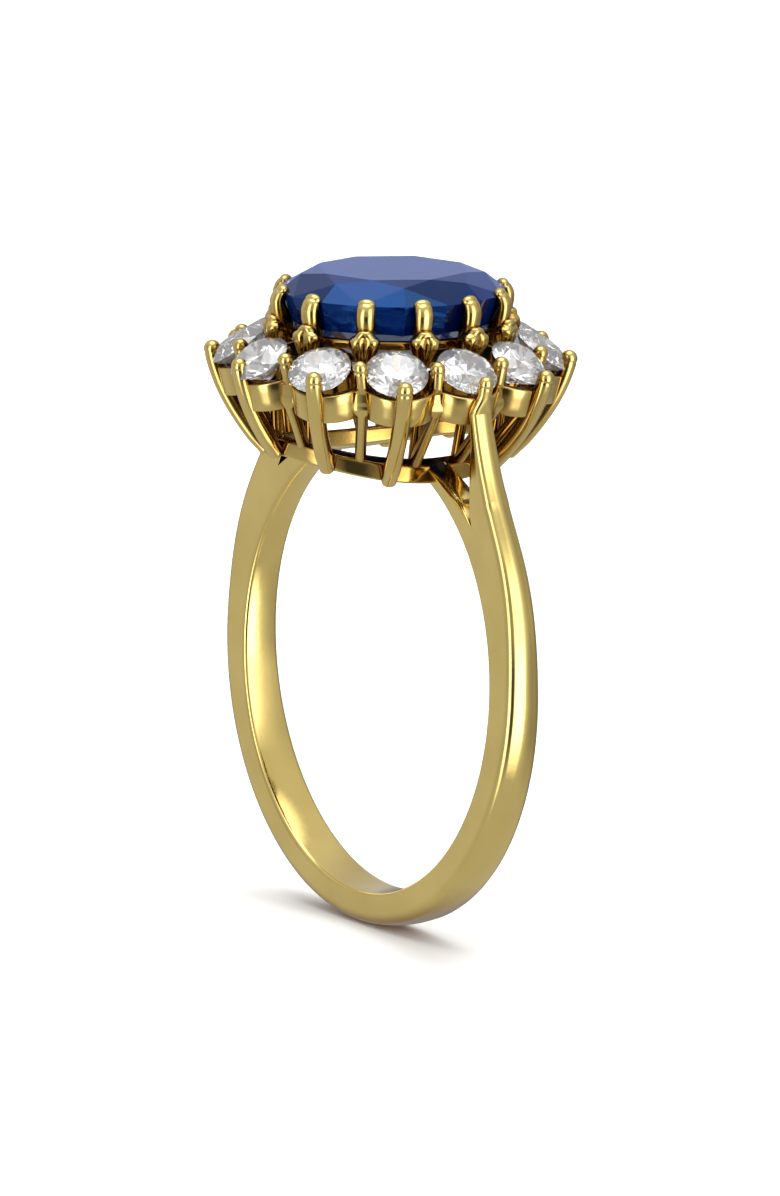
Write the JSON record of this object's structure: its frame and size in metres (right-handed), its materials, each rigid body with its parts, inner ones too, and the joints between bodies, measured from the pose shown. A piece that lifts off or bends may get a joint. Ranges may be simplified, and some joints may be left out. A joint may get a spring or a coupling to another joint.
{
  "type": "engagement ring",
  "caption": "Oval centre stone in claws above a halo of round brilliants, on a yellow gold shank with forked shoulders.",
  "frame": {"origin": "centre of the finger hole", "axes": "+Y along the axis of the finger hole, +Z from the hole up through the head, +X towards one shoulder"},
  "size_m": [0.0206, 0.0144, 0.0256],
  "materials": {
    "yellow_gold": "polished 14 carat yellow gold",
    "sapphire": "polished facets, deep blue",
    "diamond": "polished facets, colourless"
  },
  "bodies": {
    "root": {"shank": "yellow_gold", "base_rail": "yellow_gold", "halo_gallery": "yellow_gold", "centre_gallery": "yellow_gold", "inner_claws": "yellow_gold", "centre_stone": "sapphire", "outer_claw_2": "yellow_gold", "outer_claw_3": "yellow_gold", "outer_claw_4": "yellow_gold", "outer_claw_5": "yellow_gold", "outer_claw_6": "yellow_gold", "outer_claw_8": "yellow_gold", "outer_claw_9": "yellow_gold", "outer_claw_10": "yellow_gold", "outer_claw_11": "yellow_gold", "outer_claw_12": "yellow_gold", "shared_claw_1": "yellow_gold", "shared_claw_2": "yellow_gold", "shared_claw_3": "yellow_gold", "shared_claw_4": "yellow_gold", "shared_claw_5": "yellow_gold", "shared_claw_6": "yellow_gold", "shared_claw_7": "yellow_gold", "shared_claw_8": "yellow_gold", "shared_claw_9": "yellow_gold", "shared_claw_10": "yellow_gold", "shared_claw_11": "yellow_gold", "shared_claw_12": "yellow_gold", "centre_claw_1": "yellow_gold", "centre_claw_2": "yellow_gold", "centre_claw_3": "yellow_gold", "centre_claw_4": "yellow_gold", "centre_claw_5": "yellow_gold", "centre_claw_6": "yellow_gold", "centre_claw_7": "yellow_gold", "centre_claw_8": "yellow_gold", "centre_claw_9": "yellow_gold", "centre_claw_10": "yellow_gold", "centre_claw_11": "yellow_gold", "centre_claw_12": "yellow_gold", "halo_stone_1": "diamond", "halo_stone_2": "diamond", "halo_stone_3": "diamond", "halo_stone_4": "diamond", "halo_stone_5": "diamond", "halo_stone_6": "diamond", "halo_stone_7": "diamond", "halo_stone_8": "diamond", "halo_stone_9": "diamond", "halo_stone_10": "diamond", "halo_stone_11": "diamond", "halo_stone_12": "diamond"}
  },
  "joints": []
}
